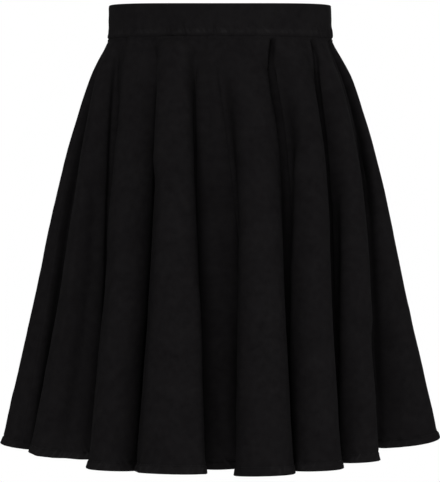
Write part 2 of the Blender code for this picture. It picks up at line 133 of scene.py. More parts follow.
# Low uneven waves: height, size, seed, upright squeeze.
CLOTH_WAVES = [(0.00065, 0.045, 3.0, 1.0), (0.00032, 0.015, 7.0, 1.0)]
BAND_WAVES = [(0.00055, 0.016, 25.0, 0.6), (0.00022, 0.007, 27.0, 1.0)]
WAVES_SET_IN = 0.05          # length below the waist seam over which they set in
BAND_TOP_CALM = 0.004        # height below the band's top over which its small forms set in
BAND_INSIDE_WAVE = 0.0002
BAND_INSIDE_WAVE_SIZE = 0.020
SEEDS = {"hem_pucker": 11.0, "hem_patch": 13.0, "waist_pucker": 17.0, "band_patch": 21.0,
         "band_pucker": 23.0, "band_inside": 29.0}

# Humps and grooves across a seam or edge: height, distance from it, half width.
UPRIGHT_SEAM = [(-0.00036, 0.0, 0.0008), (0.00010, 0.0100, 0.0030)]
WAIST_SEAM = [(0.00050, 0.0016, 0.0013), (-0.00025, 0.0042, 0.0012)]
BAND_SEAM = [(0.00075, 0.0026, 0.0026), (-0.0006, 0.0, 0.0012)]
HEM_STITCHING = [(-0.00075, HEM_DEPTH, 0.0012)]
ALLOWANCE_PARTING = [(-0.7, 0.0, 0.0012)]   # height: a share of the thickness
TAPE_EDGE = [(0.00015, 0.0012, 0.0010)]
TAPE_GROOVE = [(-0.00020, 0.0, 0.0012)]

# The concealed zip behind the centre back seam, as in the CAD model.
ZIP_TOP = -0.0088
ZIP_BELOW_SEAM = 0.122
ZIP_LENGTH = ZIP_TOP + BAND_HEIGHT + ZIP_BELOW_SEAM
TAPE_WIDTH = 0.024
TAPE_THICKNESS = 0.0007
TAPE_GAP = 0.0005
COIL_HALF_WIDTH = 0.0018
COIL_HEIGHT = 0.0013
COIL_PITCH = 0.0013
COIL_RADIUS = 0.00042
TAPE_STITCHES_FROM_MIDDLE = 0.0038

# How finely the pieces are made. The panels' columns double below each of these lengths.
THREADS_PER_COLUMN = 1.6
DOUBLINGS = (0.008, 0.462)
FIRST_ROW_STEP = 0.0007      # below the waist seam
ROW_STEP_GROWTH = 1.14
LARGEST_ROW_STEP = 0.009
HEM_ROW_STEP = 0.0008        # above the hem's stitching
HEM_ROW_STEP_GROWTH = 1.35
ROWS_BELOW_STITCHING = (0.0006, 0.0014, 0.0028, 0.0046, 0.0064, 0.0078, 0.0087)
SEAM_COLUMNS = (-0.00003, 0.0006, 0.0014, 0.0030)   # the panels meet without a gap
SEAM_SPREAD = 8              # threads over which the columns turn from the seam to the folds
BAND_COLUMNS = 1240
BAND_ROWS = (30, 9, 12)      # on the outside, round the fold and on the inside
STRIP_COLUMNS = 10
STRIP_STEP = 0.004           # length of cloth between the rows of a seam allowance or tape
THREAD_SIDES = 5
STITCH_POINTS = 5
COIL_POINTS = 7
SHARP_DEGREES = 55.0

# Long creases that lie on the large folds: ridges stand out and troughs sink in.
# cloth_angle: degrees, at the crease's upper end; drift: how far it has turned at the lower end
# the rest: millimetres, where starts and ends are lengths below the waist seam
CREASES = [
    # cloth_angle, starts, ends, half_width, height, drift
    (-88.3, 40, 600, 7.0, -14.0, 0.4),
    (-77.5, 140, 600, 5.5, -4.6, 1.5),
    (-72.4, 120, 600, 6.0, 3.0, 0.5),
    (-69.0, 160, 600, 11.0, -5.0, 0.0),
    (-65.8, 6, 560, 4.0, -5.0, 0.4),
    (-62.0, 10, 240, 9.0, 3.0, 0.0),
    (-54.5, 220, 560, 13.0, -4.5, 0.0),
    (-42.0, 45, 230, 3.6, -3.6, -2.5),
    (-39.5, 30, 360, 11.0, 4.6, 0.0),
    (-30.0, 140, 600, 13.0, -5.6, 0.5),
    (-20.5, 260, 600, 9.0, 3.4, -0.5),
    (-11.7, 36, 290, 3.6, -4.0, 2.0),
    (-9.5, 20, 600, 12.0, 6.2, 0.0),
    (-5.5, 200, 560, 16.0, 5.0, 0.0),
    (-2.0, 10, 400, 13.0, 8.0, 0.0),
    (34.8, -35, 105, 2.4, -8.8, -16.6),
    (25.8, 26, 230, 3.7, -9.2, -3.0),
    (20.5, 20, 260, 8.0, 2.2, 2.0),
    (29.5, 20, 460, 10.0, 8.5, -1.0),
    (23.6, 140, 500, 4.4, -4.6, 2.4),
    (24.0, 400, 600, 8.0, 1.8, 0.0),
    (35.0, 120, 520, 8.0, 4.8, 0.0),
    (61.6, -35, 105, 2.6, -7.2, -13.2),
    (54.4, 26, 190, 3.5, -7.8, -3.0),
    (51.0, 80, 320, 8.0, -3.0, 1.0),
    (52.3, 100, 480, 4.4, -2.8, 1.4),
    (56.0, 20, 430, 9.0, 8.5, -0.5),
    (59.2, 170, 560, 8.0, 4.8, 0.0),
    (66.0, 330, 600, 13.0, -6.0, 0.0),
    (72.2, 330, 600, 5.0, 2.2, 0.0),
    (74.6, 60, 260, 3.0, -1.6, 0.3),
    (76.6, -10, 220, 5.0, 2.4, -1.0),
    (78.4, -30, 240, 5.5, -12.5, -1.4),
    (77.2, 120, 600, 4.8, -5.4, -1.6),
    (97.5, 10, 330, 4.4, -4.0, 1.0),
    (111.0, 150, 490, 11.0, -2.2, 2.0),
    (126.5, 4, 420, 4.4, -4.4, -1.0),
    (140.0, 120, 450, 12.0, -1.8, -3.0),
    (152.0, 20, 380, 4.6, -4.0, 1.0),
    (166.0, 200, 500, 11.0, -2.0, 2.0),
    (-155.5, 10, 350, 4.4, -4.2, 1.0),
    (-143.0, 160, 470, 12.0, -1.8, -3.0),
    (-130.5, 4, 400, 4.6, -4.4, 1.0),
    (-117.0, 220, 500, 11.0, -2.2, 2.0),
    (-104.0, 30, 360, 4.4, -3.8, 1.0),
]
CREASE_RISE = 0.035          # length of cloth over which a crease sets in
CREASE_FALL = 0.110          # and over which it fades out


# ---- The hang of the cloth, worked out as in the CAD model ----
def bisect(is_low, low, high, steps=40):
    """Narrow low..high, item by item, to the value where is_low turns false."""
    for _ in range(steps):
        middle = (low + high) / 2.0
        below = is_low(middle)
        low = np.where(below, middle, low)
        high = np.where(below, high, middle)
    return (low + high) / 2.0


def sums(values, axis=0):
    """Return the running sums of values, from 0 on."""
    return np.insert(np.cumsum(values, axis=axis), 0, 0.0, axis=axis)


def unit(vectors):
    """Return the vectors at length 1."""
    return vectors / np.linalg.norm(vectors, axis=-1, keepdims=True)


def section_at(below_seam):
    """Return half width, front depth and back depth, on a smooth curve through SECTIONS."""
    table = np.array(SECTIONS)
    lengths = table[:, 0]
    row = int(np.clip(np.searchsorted(lengths, below_seam) - 1, 0, len(lengths) - 2))
    span = lengths[row + 1] - lengths[row]
    t = (below_seam - lengths[row]) / span
    slopes = np.gradient(table[:, 1:], lengths, axis=0) * span
    return ((2 * t**3 - 3 * t**2 + 1) * table[row, 1:] + (t**3 - 2 * t**2 + t) * slopes[row]
            + (-2 * t**3 + 3 * t**2) * table[row + 1, 1:] + (t**3 - t**2) * slopes[row + 1])


def oval(below_seam):
    """Return the section oval's points, headings and running lengths, from the back round."""
    half_width, front_depth, back_depth = section_at(below_seam)
    turn = np.linspace(-math.pi, math.pi, OVAL_STEPS + 1)
    depth = np.where(np.cos(turn) > 0.0, front_depth, back_depth)
    points = np.column_stack([half_width * np.sin(turn), -depth * np.cos(turn)])
    heading = np.unwrap(np.arctan2(depth * np.sin(turn), half_width * np.cos(turn)))
    steps = np.linalg.norm(np.diff(points, axis=0), axis=1)
    return points, heading, sums(steps)


(FOLD_ANGLES, WAIST_GATHERS, HEM_GATHERS, WAIST_SKEWS, HEM_SKEWS,
 WAIST_ROUNDS, HEM_ROUNDS) = np.array([fold[1:] for fold in FOLDS]).T
CLOTH_ANGLES = FOLD_ANGLES * 360.0 / FOLD_ANGLES.sum()
WAIST_RADIUS = oval(0.0)[2][-1] / (2.0 * math.pi)   # of the hole in the flat circle
HEM_RADIUS = WAIST_RADIUS + SKIRT_LENGTH
FOLD_PLACES = np.linspace(-math.pi, math.pi, WAVE_STEPS + 1)   # from hollow to hollow


def between(below_seam, at_waist, at_hem):
    """Return the folds' values at one length, between those at the waist and at the hem."""
    drawn = ((1.0 - math.exp(-below_seam / GATHER_ONSET))
             / (1.0 - math.exp(-SKIRT_LENGTH / GATHER_ONSET)))
    return (1.0 - drawn) * at_waist + drawn * at_hem


def wave(bend, cloth, turn, skew, roundness):
    """Return each fold's outline from hollow to hollow, starting at 0, 0 along +X."""
    place = (FOLD_PLACES[1:] + FOLD_PLACES[:-1]) / 2.0
    phase = (place - roundness[:, None] * np.sin(place)
             + skew[:, None] * (1.0 + np.cos(place)) / 2.0)
    heading = (turn[:, None] * (place + math.pi) / (2.0 * math.pi)
               + bend[:, None] * np.sin(phase))
    step = cloth[:, None] / WAVE_STEPS
    return sums(np.cos(heading) * step, axis=1), sums(np.sin(heading) * step, axis=1)


def share_oval(below_seam, cloth, oval_length):
    """Return each fold's length along the oval: together they fill it."""
    weight = between(below_seam, WAIST_GATHERS, HEM_GATHERS)

    def shares(pull):
        return cloth / (1.0 + (pull - 1.0) * weight)

    pull = bisect(lambda value: shares(value).sum() > oval_length, 1.0, 60.0)
    lengths = shares(pull)
    return lengths * oval_length / lengths.sum()


def ring(below_seam):
    """Return the skirt's outline from above, one point for each thread, at one length."""
    held = SEAM_HOLD * math.exp(-below_seam / SEAM_HOLD_FADE)
    cloth = np.radians(CLOTH_ANGLES) * (WAIST_RADIUS + below_seam * (1.0 - held))
    points, heading, running = oval(below_seam)
    hollows = sums(share_oval(below_seam, cloth, running[-1]))
    hollow_x = np.interp(hollows, running, points[:, 0])
    hollow_y = np.interp(hollows, running, points[:, 1])
    turn = np.diff(np.interp(hollows, running, heading))
    across_x = np.diff(hollow_x)
    across_y = np.diff(hollow_y)
    across = np.hypot(across_x, across_y)
    skew = between(below_seam, WAIST_SKEWS, HEM_SKEWS)
    roundness = between(below_seam, WAIST_ROUNDS, HEM_ROUNDS)

    def reach(bend):
        x, y = wave(bend, cloth, turn, skew, roundness)
        return np.hypot(x[:, -1], y[:, -1])

    none = np.zeros(len(FOLDS))
    bend = bisect(lambda value: reach(value) > across, none, none + TIGHTEST_BEND)
    x, y = wave(bend, cloth, turn, skew, roundness)
    swing = np.arctan2(across_y, across_x) - np.arctan2(y[:, -1], x[:, -1])
    fit = across / np.hypot(x[:, -1], y[:, -1])
    along = (fit * np.cos(swing))[:, None]
    aside = (fit * np.sin(swing))[:, None]
    plan_x = hollow_x[:-1, None] + along * x - aside * y
    plan_y = hollow_y[:-1, None] + aside * x + along * y
    return np.column_stack([plan_x[:, :-1].ravel(), plan_y[:, :-1].ravel()])


def hang_cloth():
    """Return the cloth as points [rings, threads, xyz]; each thread keeps its length."""
    lengths = np.linspace(0.0, SKIRT_LENGTH, LEVELS + 1)
    step = lengths[1]
    plans = np.array([ring(length) for length in lengths])
    sideways = np.linalg.norm(np.diff(plans, axis=0), axis=2)
    drops = np.sqrt(np.maximum(step**2 - sideways**2, (SMALLEST_DROP * step)**2))
    heights = -BAND_HEIGHT - sums(drops)
    hem = heights[-1]
    wanted = HEM_HEIGHT + HEM_WAVE * (hem - hem.mean())
    heights = heights + ((lengths / SKIRT_LENGTH)**2)[:, None] * (wanted - hem)
    return np.concatenate([plans, heights[:, :, None]], axis=2)


CLOTH = hang_cloth()
THREADS = CLOTH.shape[1]
FOLD_ENDS = sums(CLOTH_ANGLES) - 180.0   # as cloth angles, and counted in threads
FOLD_END_THREADS = np.arange(len(FOLDS) + 1) * WAVE_STEPS
PADDED_CLOTH = np.concatenate([[2.0 * CLOTH[0] - CLOTH[1]], CLOTH,
                               [2.0 * CLOTH[-1] - CLOTH[-2]]])


def thread_at(angle):
    """Return cloth angles as places counted in threads from the centre back."""
    return np.interp(angle, FOLD_ENDS, FOLD_END_THREADS)


def angle_at(thread):
    """Return places counted in threads as cloth angles."""
    return np.interp(thread, FOLD_END_THREADS, FOLD_ENDS)


def cubic_weights(t):
    """Return the weights of four points in a row, for places between the middle two."""
    return (-0.5 * t + t**2 - 0.5 * t**3,
            1.0 - 2.5 * t**2 + 1.5 * t**3,
            0.5 * t + 2.0 * t**2 - 1.5 * t**3,
            -0.5 * t**2 + 0.5 * t**3)


def cloth_at(below_seam, thread):
    """Return smooth points of the cloth's middle. Above the seam it runs straight up."""
    below_seam, thread = np.broadcast_arrays(below_seam, thread)
    level = np.clip(below_seam, 0.0, SKIRT_LENGTH) / SKIRT_LENGTH * LEVELS
    upper = np.minimum(level.astype(int), LEVELS - 1)
    left = np.floor(thread).astype(int)
    down = cubic_weights(level - upper)
    along = cubic_weights(thread - left)
    points = np.zeros(level.shape + (3,))
    for i in range(4):
        for j in range(4):
            taps = PADDED_CLOTH[upper + i, (left + j - 1) % THREADS]
            points += (down[i] * along[j])[..., None] * taps
    points[..., 2] -= np.minimum(below_seam, 0.0)
    return points


def outward_at(below_seam, thread):
    """Return the cloth's outward directions."""
    probe = 0.002
    down = cloth_at(below_seam + probe, thread) - cloth_at(below_seam - probe, thread)
    along = cloth_at(below_seam, thread + 0.5) - cloth_at(below_seam, thread - 0.5)
    return unit(np.cross(down, along))


def flat_place(below_seam, thread):
    """Return where the cloth lies in the flat circle, in metres."""
    turn = np.radians(angle_at(thread))
    radius = WAIST_RADIUS + below_seam
    return np.stack([radius * np.sin(turn), -radius * np.cos(turn)], axis=-1)


# ---- Small forms on the cloth, as heights along its outward direction ----
def bump(value, centre, half_width):
    """Return a smooth hump of height 1."""
    return np.exp(-((value - centre) / half_width)**2)


def step_up(value, start, end):
    """Return a smooth rise from 0 at start to 1 at end."""
    t = np.clip((value - start) / (end - start), 0.0, 1.0)
    return t * t * (3.0 - 2.0 * t)


def rough(places, size, seed):
    """Return soft random heights, about -1 to 1, at places in metres."""
    return np.array([noise.noise(Vector((x, y, seed))) for x, y in places / size])


def rough_line(run, size, seed):
    """Return soft random heights, about -1 to 1, along a line in metres."""
    return np.array([noise.noise(Vector((x, seed, 0.5))) for x in run / size])


def crease_height(below_seam, angle):
    """Return the height of the long creases."""
    height = np.zeros_like(angle)
    for cloth_angle, *millimetres, drift in CREASES:
        starts, ends, half_width, tall = np.array(millimetres) / 1000.0
        centre = cloth_angle + drift * (below_seam - starts) / (ends - starts)
        aside = np.radians(angle - centre) * (WAIST_RADIUS + below_seam)
        fade = (step_up(below_seam, starts, starts + CREASE_RISE)
                * (1.0 - step_up(below_seam, ends - CREASE_FALL, ends)))
        height += tall * fade * bump(aside, 0.0, half_width)
    return height * step_up(below_seam, 0.0, CLEAR_OF_BAND)


def across_seam(distance, rows):
    """Return the height of a seam's humps and grooves at distances from it."""
    return sum(height * bump(distance, centre, half_width)
               for height, centre, half_width in rows)


def waves(places, rows):
    """Return the height of low uneven waves at places in metres."""
    return sum(height * rough(places * (1.0, squeeze), size, seed)
               for height, size, seed, squeeze in rows)


def hem_puckers(above_hem, round_hem):
    """Return the height of the puckers at the hem's stitching."""
    lean = PUCKER_LEAN * min(above_hem, PUCKER_LEAN_END)
    pucker = rough_line(round_hem + lean, PUCKER_PITCH, SEEDS["hem_pucker"])
    patch = 0.5 + 0.5 * rough_line(round_hem, PUCKER_PATCH, SEEDS["hem_patch"])
    strength = CALMEST + (1.0 - CALMEST) * patch
    if above_hem > HEM_DEPTH:
        reach = math.exp(-(above_hem - HEM_DEPTH) / PUCKER_FADE)
    else:
        reach = CALMEST + (1.0 - CALMEST) * above_hem / HEM_DEPTH
    return PUCKER_HEIGHT * strength * pucker * reach


def relief(below_seam, thread, from_seam):
    """Return the outer and inner heights of the small forms, in metres."""
    angle = angle_at(thread)
    turn = np.radians(angle)
    above_hem = SKIRT_LENGTH - below_seam
    height, pitch, place, reach = WAIST_PUCKERS
    waist_puckers = (height * rough_line(turn * WAIST_RADIUS, pitch, SEEDS["waist_pucker"])
                     * bump(below_seam, place, reach))
    puckers = hem_puckers(above_hem, turn * HEM_RADIUS) + waist_puckers
    shared = (crease_height(below_seam, angle)
              + step_up(below_seam, 0.0, WAVES_SET_IN)
              * waves(flat_place(below_seam, thread), CLOTH_WAVES)
              + puckers * step_up(180.0 - np.abs(angle), 0.0, BACK_SEAM_CALM)
              + HEM_FLARE * max(0.0, 1.0 - above_hem / HEM_DEPTH)
              + across_seam(from_seam, UPRIGHT_SEAM))
    turned = 1.0 - step_up(above_hem, HEM_DEPTH - HEM_STEP[0], HEM_DEPTH + HEM_STEP[1])
    outer = (shared + HEM_PUFF * turned + across_seam(above_hem, HEM_STITCHING)
             + across_seam(below_seam, WAIST_SEAM))
    return outer, shared - HEM_EXTRA * turned


def panel_surface(below_seam, angle, from_seam):
    """Return a panel's outer and inner points and its outward directions, along one row."""
    thread = thread_at(angle)
    middle = cloth_at(below_seam, thread)
    out = outward_at(max(below_seam, 0.0), thread)
    high, low = relief(below_seam, thread, from_seam)
    half = CLOTH_THICKNESS / 2.0
    return middle + out * (half + high)[:, None], middle + out * (low - half)[:, None], out


# ---- Meshes ----
def strip_faces(upper, lower):
    """Return the faces between two rows of corner numbers, the same length or one refined."""
    faces = []
    if len(upper) == len(lower):
        for i in range(len(upper) - 1):
            faces.append((upper[i], lower[i], lower[i + 1], upper[i + 1]))
    elif len(lower) > len(upper):
        for i in range(len(upper) - 1):
            faces.append((upper[i], lower[2 * i], lower[2 * i + 1]))
            faces.append((upper[i], lower[2 * i + 1], upper[i + 1]))
            faces.append((upper[i + 1], lower[2 * i + 1], lower[2 * i + 2]))
    else:
        faces = [face[::-1] for face in strip_faces(lower, upper)]
    return faces


def corner_numbers(rows):
    """Return the numbers of each row's corners, counted through all rows."""
    ends = np.cumsum([len(row) for row in rows])
    return [list(range(end - len(row), end)) for row, end in zip(rows, ends)]


def mesh_object(name, points, faces, flat=None):
    """Make an object from points and faces, with its flat places as a UV map in metres."""
    mesh = bpy.data.meshes.new(name)
    mesh.from_pydata([tuple(point) for point in points], [], faces)
    if flat is not None:
        layer = mesh.uv_layers.new(name="flat_cut")
        corners = np.empty(len(mesh.loops), dtype=np.int32)
        mesh.loops.foreach_get("vertex_index", corners)
        layer.data.foreach_set("uv", np.asarray(flat, dtype=np.float32)[corners].ravel())
    mesh.validate()
    mesh.shade_smooth()
    mesh.set_sharp_from_angle(angle=math.radians(SHARP_DEGREES))
    made = bpy.data.objects.new(name, mesh)
    bpy.context.scene.collection.objects.link(made)
    return made


def shell_object(name, outer, inner, rim, flat):
    """Make a closed shell of cloth: outer rows, a rim row round the hem, and inner rows."""
    rows = outer + [rim] + inner[::-1]
    flats = flat + [flat[-1]] + flat[::-1]
    numbers = corner_numbers(rows)
    faces = []
    for upper, lower in zip(numbers, numbers[1:]):
        faces += strip_faces(upper, lower)
    faces += strip_faces(numbers[-1], numbers[0])
    count = len(outer)
    for side in (0, -1):
        edge = []
        for row in range(count - 1):
            front, back = numbers[row], numbers[-1 - row]
            front_next, back_next = numbers[row + 1], numbers[-2 - row]
            edge.append((front[side], back[side], back_next[side], front_next[side]))
        edge.append((numbers[count - 1][side], numbers[count + 1][side], numbers[count][side]))
        faces += edge if side == 0 else [face[::-1] for face in edge]
    return mesh_object(name, np.concatenate(rows), faces, np.concatenate(flats))


def refine(values):
    """Return the values with the middle of each pair put between them."""
    return np.insert(values, np.arange(1, len(values)), (values[1:] + values[:-1]) / 2.0)


def panel_rows():
    """Return the lengths below the seam of a panel's rows, and how often each is refined."""
    lengths = [-TOP_TUCK, 0.0]
    step = FIRST_ROW_STEP
    while lengths[-1] + step < DOUBLINGS[1]:
        lengths.append(lengths[-1] + step)
        step = min(ROW_STEP_GROWTH * step, LARGEST_ROW_STEP)
    bottom = []
    place = HEM_DEPTH
    step = HEM_ROW_STEP
    while SKIRT_LENGTH - place > DOUBLINGS[1] + step:
        bottom.append(SKIRT_LENGTH - place)
        place += step
        step *= HEM_ROW_STEP_GROWTH
    above_hem = HEM_DEPTH - np.array(ROWS_BELOW_STITCHING)
    lengths += bottom[::-1] + list(SKIRT_LENGTH - above_hem) + [SKIRT_LENGTH]
    return [(length, sum(length > place for place in DOUBLINGS)) for length in lengths]


def panel_columns(first, last):
    """Return the columns' places in threads and their shifts, in metres, from the seams."""
    start, end = thread_at(first), thread_at(last)
    lowest = math.ceil(start / THREADS_PER_COLUMN) * THREADS_PER_COLUMN
    inside = np.arange(lowest, end, THREADS_PER_COLUMN, dtype=float)
    inside = inside[(inside > start + 1.0) & (inside < end - 1.0)]
    widest = SEAM_COLUMNS[-1]
    from_start = np.clip(1.0 - (inside - start) / SEAM_SPREAD, 0.0, 1.0) * widest
    from_end = np.clip(1.0 - (end - inside) / SEAM_SPREAD, 0.0, 1.0) * widest
    near = np.array(SEAM_COLUMNS)
    threads = np.concatenate([np.full(len(near), start), inside, np.full(len(near), end)])
    shifts = np.concatenate([near, from_start - from_end, -near[::-1]])
    return threads, shifts


def make_panel(name, first, last, node, finish):
    """Make one cut piece of the skirt, with its turned-up hem, between two seams."""
    columns = [panel_columns(first, last)]
    for _ in DOUBLINGS:
        columns.append([refine(values) for values in columns[-1]])
    outer, inner, flats = [], [], []
    for below_seam, refined in panel_rows():
        thread, shift = columns[refined]
        radius = WAIST_RADIUS + max(below_seam, 0.0)
        angle = angle_at(thread) + np.degrees(shift / radius)
        from_seam = np.radians(np.minimum(angle - first, last - angle)) * radius
        high, low, _ = panel_surface(below_seam, angle, from_seam)
        outer.append(high)
        inner.append(low)
        flats.append(flat_place(below_seam, thread_at(angle)))
    rim = (outer[-1] + inner[-1]) / 2.0
    rim[:, 2] -= HEM_EDGE_ROUND
    panel = shell_object(name, outer, inner, rim, flats)
    dress(panel, finish)
    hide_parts(node)
    return panel


def dress(piece, finish, body="skirt"):
    """Give a piece its material and the body it rides on."""
    piece.data.materials.append(finish)
    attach(piece, body)


def thread_object(name, paths, aside, radius):
    """Make short threads: one tube round each path [threads, points, xyz], bent about aside."""
    tangent = unit(np.gradient(paths, axis=1))
    second = np.broadcast_to(aside[:, None, :], tangent.shape)
    first = np.cross(second, tangent)
    rings = []
    for turn in np.arange(THREAD_SIDES) * 2.0 * math.pi / THREAD_SIDES:
        rings.append(paths + radius * (math.cos(turn) * first + math.sin(turn) * second))
    points = np.stack(rings, axis=2)
    count, steps = paths.shape[:2]
    faces = []
    for base in range(0, count * steps * THREAD_SIDES, steps * THREAD_SIDES):
        for start in range(base, base + (steps - 1) * THREAD_SIDES, THREAD_SIDES):
            for side in range(THREAD_SIDES):
                here, there = start + side, start + (side + 1) % THREAD_SIDES
                faces.append((here, there, there + THREAD_SIDES, here + THREAD_SIDES))
        faces.append(tuple(range(base + THREAD_SIDES - 1, base - 1, -1)))
        end = base + (steps - 1) * THREAD_SIDES
        faces.append(tuple(range(end, end + THREAD_SIDES)))
    return mesh_object(name, points.reshape(-1, 3), faces)


def stitch_row(name, centres, outward, along):
    """Make one row of stitches that dip into the cloth at both ends."""
    along = unit(along)
    step = np.linspace(-1.0, 1.0, STITCH_POINTS)
    rise = STITCH_RADIUS * (1.0 - STITCH_DIP * step**4)
    half = STITCH_PITCH * STITCH_SHARE / 2.0
    paths = (centres[:, None] + along[:, None] * (half * step)[None, :, None]
             + outward[:, None] * rise[None, :, None])
    return thread_object(name, paths, np.cross(along, outward), STITCH_RADIUS)


def make_hem_stitches(name, first, last, finish):
    """Make the hem's stitches on one panel."""
    below_seam = SKIRT_LENGTH - HEM_DEPTH
    radius = WAIST_RADIUS + below_seam
    margin = math.degrees(STITCH_END_GAP / radius)
    count = int(math.radians(last - first - 2.0 * margin) * radius / STITCH_PITCH)
    angles = np.linspace(first + margin, last - margin, count + 1)
    from_seam = np.radians(np.minimum(angles - first, last - angles)) * radius
    centres, _, outward = panel_surface(below_seam, angles, from_seam)
    stitches = stitch_row(name, centres, outward, np.gradient(centres, axis=0))
    dress(stitches, finish)
    return stitches


def strip_object(name, rows, flats):
    """Make a closed strip from rows of points, each a closed outline of the same length."""
    numbers = corner_numbers(rows)
    faces = []
    for upper, lower in zip(numbers, numbers[1:]):
        faces += strip_faces(upper + upper[:1], lower + lower[:1])
    faces.append(tuple(numbers[0]))
    faces.append(tuple(numbers[-1][::-1]))
    return mesh_object(name, np.concatenate(rows), faces, np.concatenate(flats))


def wrapped(angle):
    """Return cloth angles turned back into -180 to 180."""
    return np.where(angle > 180.0, angle - 360.0, np.where(angle < -180.0, angle + 360.0, angle))


def make_allowance(name, seam, starts, finish):
    """Make the two edges of cloth pressed open behind a seam, down to the hem."""
    across = np.linspace(-ALLOWANCE_WIDTH, ALLOWANCE_WIDTH, STRIP_COLUMNS + 1)
    thickness = ALLOWANCE_THICKNESS * (1.0 + across_seam(across, ALLOWANCE_PARTING))
    rows, flats = [], []
    for below_seam in np.arange(starts, SKIRT_LENGTH - HEM_DEPTH, STRIP_STEP):
        radius = WAIST_RADIUS + below_seam
        angles = wrapped(seam + np.degrees(across / radius))
        _, inner, outward = panel_surface(below_seam, angles, np.abs(across))
        near = inner - outward * ALLOWANCE_GAP
        far = near - outward * thickness[:, None]
        rows.append(np.concatenate([near, far[::-1]]))
        place = flat_place(below_seam, thread_at(angles))
        flats.append(np.concatenate([place, place[::-1]]))
    dress(strip_object(name, rows, flats), finish)


def zip_place(below_top, across, out):
    """Return points on the zip: along the cloth from its middle, and out from its tape's face."""
    height = ZIP_TOP - below_top
    below_seam = max(-BAND_HEIGHT - height, 0.0)
    angle = wrapped(180.0 + np.degrees(across / (WAIST_RADIUS + below_seam)))
    to_cloth = step_up(below_seam, 0.0, CLEAR_OF_BAND)
    inset = (TAPE_GAP + BAND_THICKNESS / 2.0
             + (CLOTH_THICKNESS - BAND_THICKNESS) / 2.0 * to_cloth)
    if below_seam == 0.0:
        return waist_point(angle, out - inset, height)
    thread = thread_at(angle)
    outward = outward_at(below_seam, thread)
    return cloth_at(below_seam, thread) + outward * (out - inset)[:, None]


def make_zip_tape(finish):
    """Make the zip's two tapes, with their thicker woven edges, as one closed strip."""
    half = TAPE_WIDTH / 2.0
    across = np.linspace(-half, half, 2 * STRIP_COLUMNS + 1)
    edge = across_seam(half - np.abs(across), TAPE_EDGE)
    around = np.concatenate([across, across[::-1]])
    out = np.concatenate([across_seam(across, TAPE_GROOVE), (-TAPE_THICKNESS - edge)[::-1]])
    rows, flats = [], []
    for below_top in np.arange(0.0, ZIP_LENGTH, STRIP_STEP / 2.0):
        rows.append(zip_place(below_top, around, out))
        flats.append(np.column_stack([around, np.full(len(around), below_top)]))
    tape = strip_object("zip_tapes", rows, flats)
    dress(tape, finish)
    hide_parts("zip_tape")


def make_zip_coil(finish):
    """Make the coil's closed teeth on the inside of the tapes."""
    step = np.linspace(-1.0, 1.0, COIL_POINTS)
    across = (COIL_HALF_WIDTH - COIL_RADIUS) * step
    out = -TAPE_THICKNESS - (COIL_HEIGHT - COIL_RADIUS) * (1.0 - step**4)
    tops = np.arange(COIL_PITCH, ZIP_LENGTH - COIL_PITCH, COIL_PITCH)
    paths = np.array([zip_place(top, across, out) for top in tops])
    down = unit(np.gradient(paths.mean(axis=1), axis=0))
    coil = thread_object("zip_coil", paths, down, COIL_RADIUS)
    dress(coil, finish)


def make_tape_stitches(name, from_middle, finish):
    """Make the row of stitches that holds one side of the zip to the cloth."""
    tops = np.arange(STITCH_PITCH, ZIP_LENGTH - STITCH_PITCH, STITCH_PITCH)
    across = np.array([from_middle])
    face = np.array([-TAPE_THICKNESS])
    probe = 0.001
    centres = np.array([zip_place(top, across, face)[0] for top in tops])
    under = np.array([zip_place(top, across, face - probe)[0] for top in tops])
    inward = (under - centres) / probe
    dress(stitch_row(name, centres, inward, np.gradient(centres, axis=0)), finish)


def waist_point(angle, out, height):
    """Return points of the waistband: out from its middle surface, at a height below the top."""
    thread = thread_at(angle)
    shrink = 1.0 - BAND_TOP_TAPER * (1.0 + height / BAND_HEIGHT)
    along = cloth_at(0.0, thread + 1.0) - cloth_at(0.0, thread - 1.0)
    outward = unit(np.column_stack([along[:, 1], -along[:, 0], np.zeros(len(angle))]))
    points = cloth_at(0.0, thread) * shrink + outward * np.asarray(out)[..., None]
    points[:, 2] = height
    return points


def band_relief(angle, height):
    """Return the height of the band's small forms on its outside."""
    run = np.radians(angle) * WAIST_RADIUS
    above_seam = height + BAND_HEIGHT
    places = np.column_stack([run, np.full(len(run), height)])
    patch = step_up(rough_line(run, BAND_PATCH, SEEDS["band_patch"]),
                    -BAND_PATCH_EDGE, BAND_PATCH_EDGE)
    strength = CALMEST + (1.0 - CALMEST) * patch
    tall, pitch, place, reach = BAND_PUCKERS
    pucker = rough_line(run + BAND_PUCKER_LEAN * above_seam, pitch, SEEDS["band_pucker"])
    return (across_seam(above_seam, BAND_SEAM) + waves(places, BAND_WAVES)
            + tall * strength * pucker * bump(above_seam, place, reach))


def band_profile(bottom):
    """Return the band's outline across: out, height and face, from its outer bottom edge up."""
    half = BAND_THICKNESS / 2.0
    outside, fold, inside = BAND_ROWS
    profile = [(half, height, "outer") for height in np.linspace(bottom, -half, outside)]
    for turn in np.linspace(0.0, math.pi, fold)[1:-1]:
        profile.append((half * math.cos(turn), -half + half * math.sin(turn), "fold"))
    return profile + [(-half, height, "inner") for height in np.linspace(-half, bottom, inside)]


